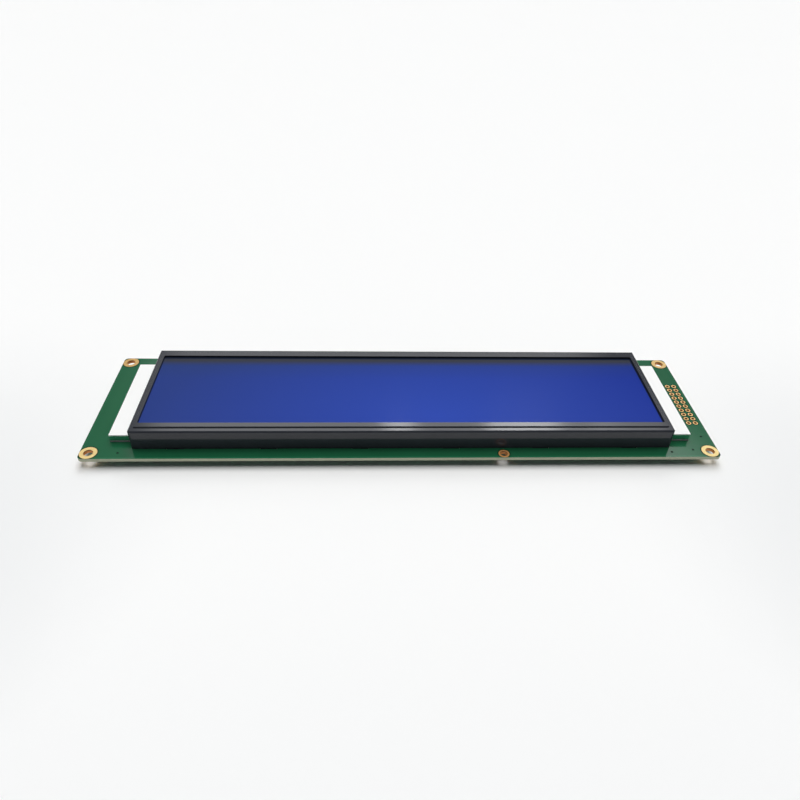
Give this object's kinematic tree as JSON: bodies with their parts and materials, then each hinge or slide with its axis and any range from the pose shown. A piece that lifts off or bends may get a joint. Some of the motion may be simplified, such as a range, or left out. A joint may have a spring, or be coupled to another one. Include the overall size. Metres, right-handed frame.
{
  "type": "graphic lcd module",
  "caption": "Flat graphic liquid-crystal display module: blue window in a stamped black bezel over an edge-lit backlight, on a circuit board with plated mounting and connector holes.",
  "frame": {"origin": "centre of the board's outline, in the plane on which the chips under the board rest", "axes": "+X along the board towards the connector holes, +Y to the rear, +Z out of the display"},
  "size_m": [0.22, 0.06, 0.0116],
  "materials": {
    "board_green": "glossy solder mask over glass-fibre board",
    "gold_plating": "bright gold plating",
    "bezel_black": "glossy black paint on steel sheet",
    "polarizer_blue": "glossy film over blue display",
    "polarizer_grey": "smooth film",
    "cell_glass": "clear glass",
    "strip_rubber": "matt",
    "cushion_black": "matt",
    "diffuser_white": "matt white film",
    "guide_acrylic": "clear acrylic",
    "reflector_white": "satin white film",
    "mirror_silver": "mirror-finish film",
    "tape_grey": "matt foam tape",
    "lamp_board_green": "solder mask",
    "lamp_white": "moulded lamp body",
    "tin_plating": "satin tin plating",
    "solder": "bright solder",
    "chip_black": "matt moulding compound",
    "capacitor_tan": "fired ceramic",
    "resistor_black": "coated ceramic"
  },
  "bodies": {
    "root": {"circuit_board": "board_green", "corner_eyelets": "gold_plating", "edge_eyelet": "gold_plating", "header_eyelets": "gold_plating", "bezel": "bezel_black", "front_polarizer": "polarizer_blue", "rear_polarizer": "polarizer_grey", "front_glass": "cell_glass", "rear_glass": "cell_glass", "front_rubber_strip": "strip_rubber", "rear_rubber_strip": "strip_rubber", "cushion_frame": "cushion_black", "diffuser_sheet": "diffuser_white", "light_guide": "guide_acrylic", "reflector_sheet": "reflector_white", "mirror_band": "mirror_silver", "mounting_tape": "tape_grey", "left_lamp_board": "lamp_board_green", "right_lamp_board": "lamp_board_green", "left_lamps": "lamp_white", "right_lamps": "lamp_white", "lamp_pins": "tin_plating", "lamp_solder": "solder", "column_driver_1": "chip_black", "column_driver_2": "chip_black", "column_driver_3": "chip_black", "row_driver": "chip_black", "controller": "chip_black", "memory": "chip_black", "bias_amplifier": "chip_black", "column_driver_1_leads": "tin_plating", "column_driver_2_leads": "tin_plating", "column_driver_3_leads": "tin_plating", "row_driver_leads": "tin_plating", "controller_leads": "tin_plating", "memory_leads": "tin_plating", "bias_amplifier_leads": "tin_plating", "capacitor_bodies": "capacitor_tan", "capacitor_ends": "tin_plating", "resistor_bodies": "resistor_black", "resistor_ends": "tin_plating"}
  },
  "joints": []
}
